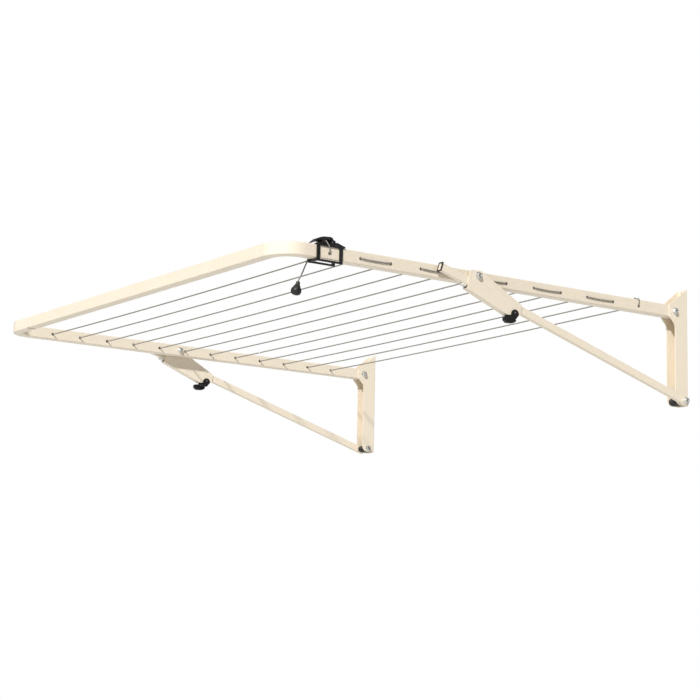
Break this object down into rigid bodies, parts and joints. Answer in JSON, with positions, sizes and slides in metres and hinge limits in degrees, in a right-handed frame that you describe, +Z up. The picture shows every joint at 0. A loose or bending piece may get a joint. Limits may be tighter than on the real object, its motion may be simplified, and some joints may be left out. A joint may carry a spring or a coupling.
{
  "type": "wall mounted folding clothesline",
  "caption": "Wall-mounted fold-down clothesline: rectangular tube frame hinged on two wall brackets, propped by sliding struts, with one line woven across it.",
  "frame": {"origin": "on the wall, midway between the two brackets, level with the frame's hinge bolts", "axes": "+X along the wall to the side with the tensioner, +Y into the wall, +Z up"},
  "size_m": [1.5572, 1.335, 0.3255],
  "materials": {
    "cream_paint": "semi-gloss powder coat",
    "zinc": "zinc plated",
    "black_plastic": "moulded, matt",
    "black_rubber": "moulded",
    "line_vinyl": "vinyl coated cord",
    "nylon": "natural nylon"
  },
  "bodies": {
    "wall_brackets": {"wall_bracket_right": "cream_paint", "frame_pivot_bolt_right": "zinc", "frame_pivot_nut_right": "zinc", "stop_buffer_right": "black_rubber", "strut_pivot_pin_right": "zinc", "strut_pivot_nut_right": "zinc", "wall_bracket_left": "cream_paint", "frame_pivot_bolt_left": "zinc", "frame_pivot_nut_left": "zinc", "stop_buffer_left": "black_rubber", "strut_pivot_pin_left": "zinc", "strut_pivot_nut_left": "zinc"},
    "frame": {"frame_joiner": "black_plastic", "joiner_rivet_1": "zinc", "joiner_rivet_2": "zinc", "clothes_line": "line_vinyl", "line_end_knot": "line_vinyl", "tensioner_body": "black_plastic", "tensioner_pin": "zinc", "frame_tube_right": "cream_paint", "pivot_bush_right": "nylon", "arm_end_plug_right": "black_plastic", "sleeve_pivot_bolt_right": "zinc", "sleeve_pivot_nut_right": "zinc", "arm_spacer_right": "nylon", "sleeve_bush_right": "zinc", "frame_tube_left": "cream_paint", "pivot_bush_left": "nylon", "arm_end_plug_left": "black_plastic", "sleeve_pivot_bolt_left": "zinc", "sleeve_pivot_nut_left": "zinc", "arm_spacer_left": "nylon", "sleeve_bush_left": "zinc"},
    "sleeve_right": {"sleeve_right": "cream_paint", "lever_pin_right": "zinc", "strut_guide_right": "nylon"},
    "sleeve_left": {"sleeve_left": "cream_paint", "lever_pin_left": "zinc", "strut_guide_left": "nylon"},
    "strut_right": {"strut_tube_right": "cream_paint", "strut_end_cap_right": "black_plastic", "strut_end_plug_right": "cream_paint", "strut_pivot_bolt_right": "zinc", "strut_spacer_right": "nylon"},
    "strut_left": {"strut_tube_left": "cream_paint", "strut_end_cap_left": "black_plastic", "strut_end_plug_left": "cream_paint", "strut_pivot_bolt_left": "zinc", "strut_spacer_left": "nylon"},
    "lever_right": {"release_lever_right": "black_plastic"},
    "lever_left": {"release_lever_left": "black_plastic"},
    "line_tail": {"pull_cord": "line_vinyl", "pull_toggle": "black_plastic"},
    "jaw": {"tensioner_jaw": "black_plastic"}
  },
  "joints": [
    {"name": "frame_fold", "type": "hinge", "parent": "wall_brackets", "child": "frame", "pos_m": [0, -0.047, 0], "axis": [1, 0, 0], "range_deg": [0, 87]},
    {"name": "tail_swing", "type": "hinge", "parent": "frame", "child": "line_tail", "pos_m": [0.7124, -1.233, -0.016], "axis": [1, 0, 0], "range_deg": [-58.5, 0]},
    {"name": "jaw_lift", "type": "hinge", "parent": "frame", "child": "jaw", "pos_m": [0.73225, -1.1865, 0.0265], "axis": [-1, 0, 0], "range_deg": [0, 50]},
    {"name": "sleeve_turn_right", "type": "hinge", "parent": "frame", "child": "sleeve_right", "pos_m": [0.7608, -0.751, 0], "axis": [1, 0, 0], "range_deg": [0, 16.13]},
    {"name": "strut_slide_right", "type": "slide", "parent": "sleeve_right", "child": "strut_right", "axis": [0, -0.9566, 0.2914], "range_m": [0, 0.3075]},
    {"name": "lever_pull_right", "type": "hinge", "parent": "sleeve_right", "child": "lever_right", "pos_m": [0.7608, -0.632, -0.0805], "axis": [1, 0, 0], "range_deg": [0, 25], "stiffness_Nm_per_rad": 0.12, "springref_deg": -14.32},
    {"name": "sleeve_turn_left", "type": "hinge", "parent": "frame", "child": "sleeve_left", "pos_m": [-0.7608, -0.751, 0], "axis": [1, 0, 0], "range_deg": [0, 16.13]},
    {"name": "strut_slide_left", "type": "slide", "parent": "sleeve_left", "child": "strut_left", "axis": [0, -0.9566, 0.2914], "range_m": [0, 0.3075]},
    {"name": "lever_pull_left", "type": "hinge", "parent": "sleeve_left", "child": "lever_left", "pos_m": [-0.7608, -0.632, -0.0805], "axis": [1, 0, 0], "range_deg": [0, 25], "stiffness_Nm_per_rad": 0.12, "springref_deg": -14.32}
  ],
  "couplings": [
    {"joint": "tail_swing", "follows": "frame_fold", "ratio": -0.6667},
    {"joint": "sleeve_turn_right", "follows": "frame_fold", "ratio": 0.18197},
    {"joint": "strut_slide_right", "follows": "frame_fold", "m_per_rad": 0.20185},
    {"joint": "sleeve_turn_left", "follows": "frame_fold", "ratio": 0.18197},
    {"joint": "strut_slide_left", "follows": "frame_fold", "m_per_rad": 0.20185}
  ]
}
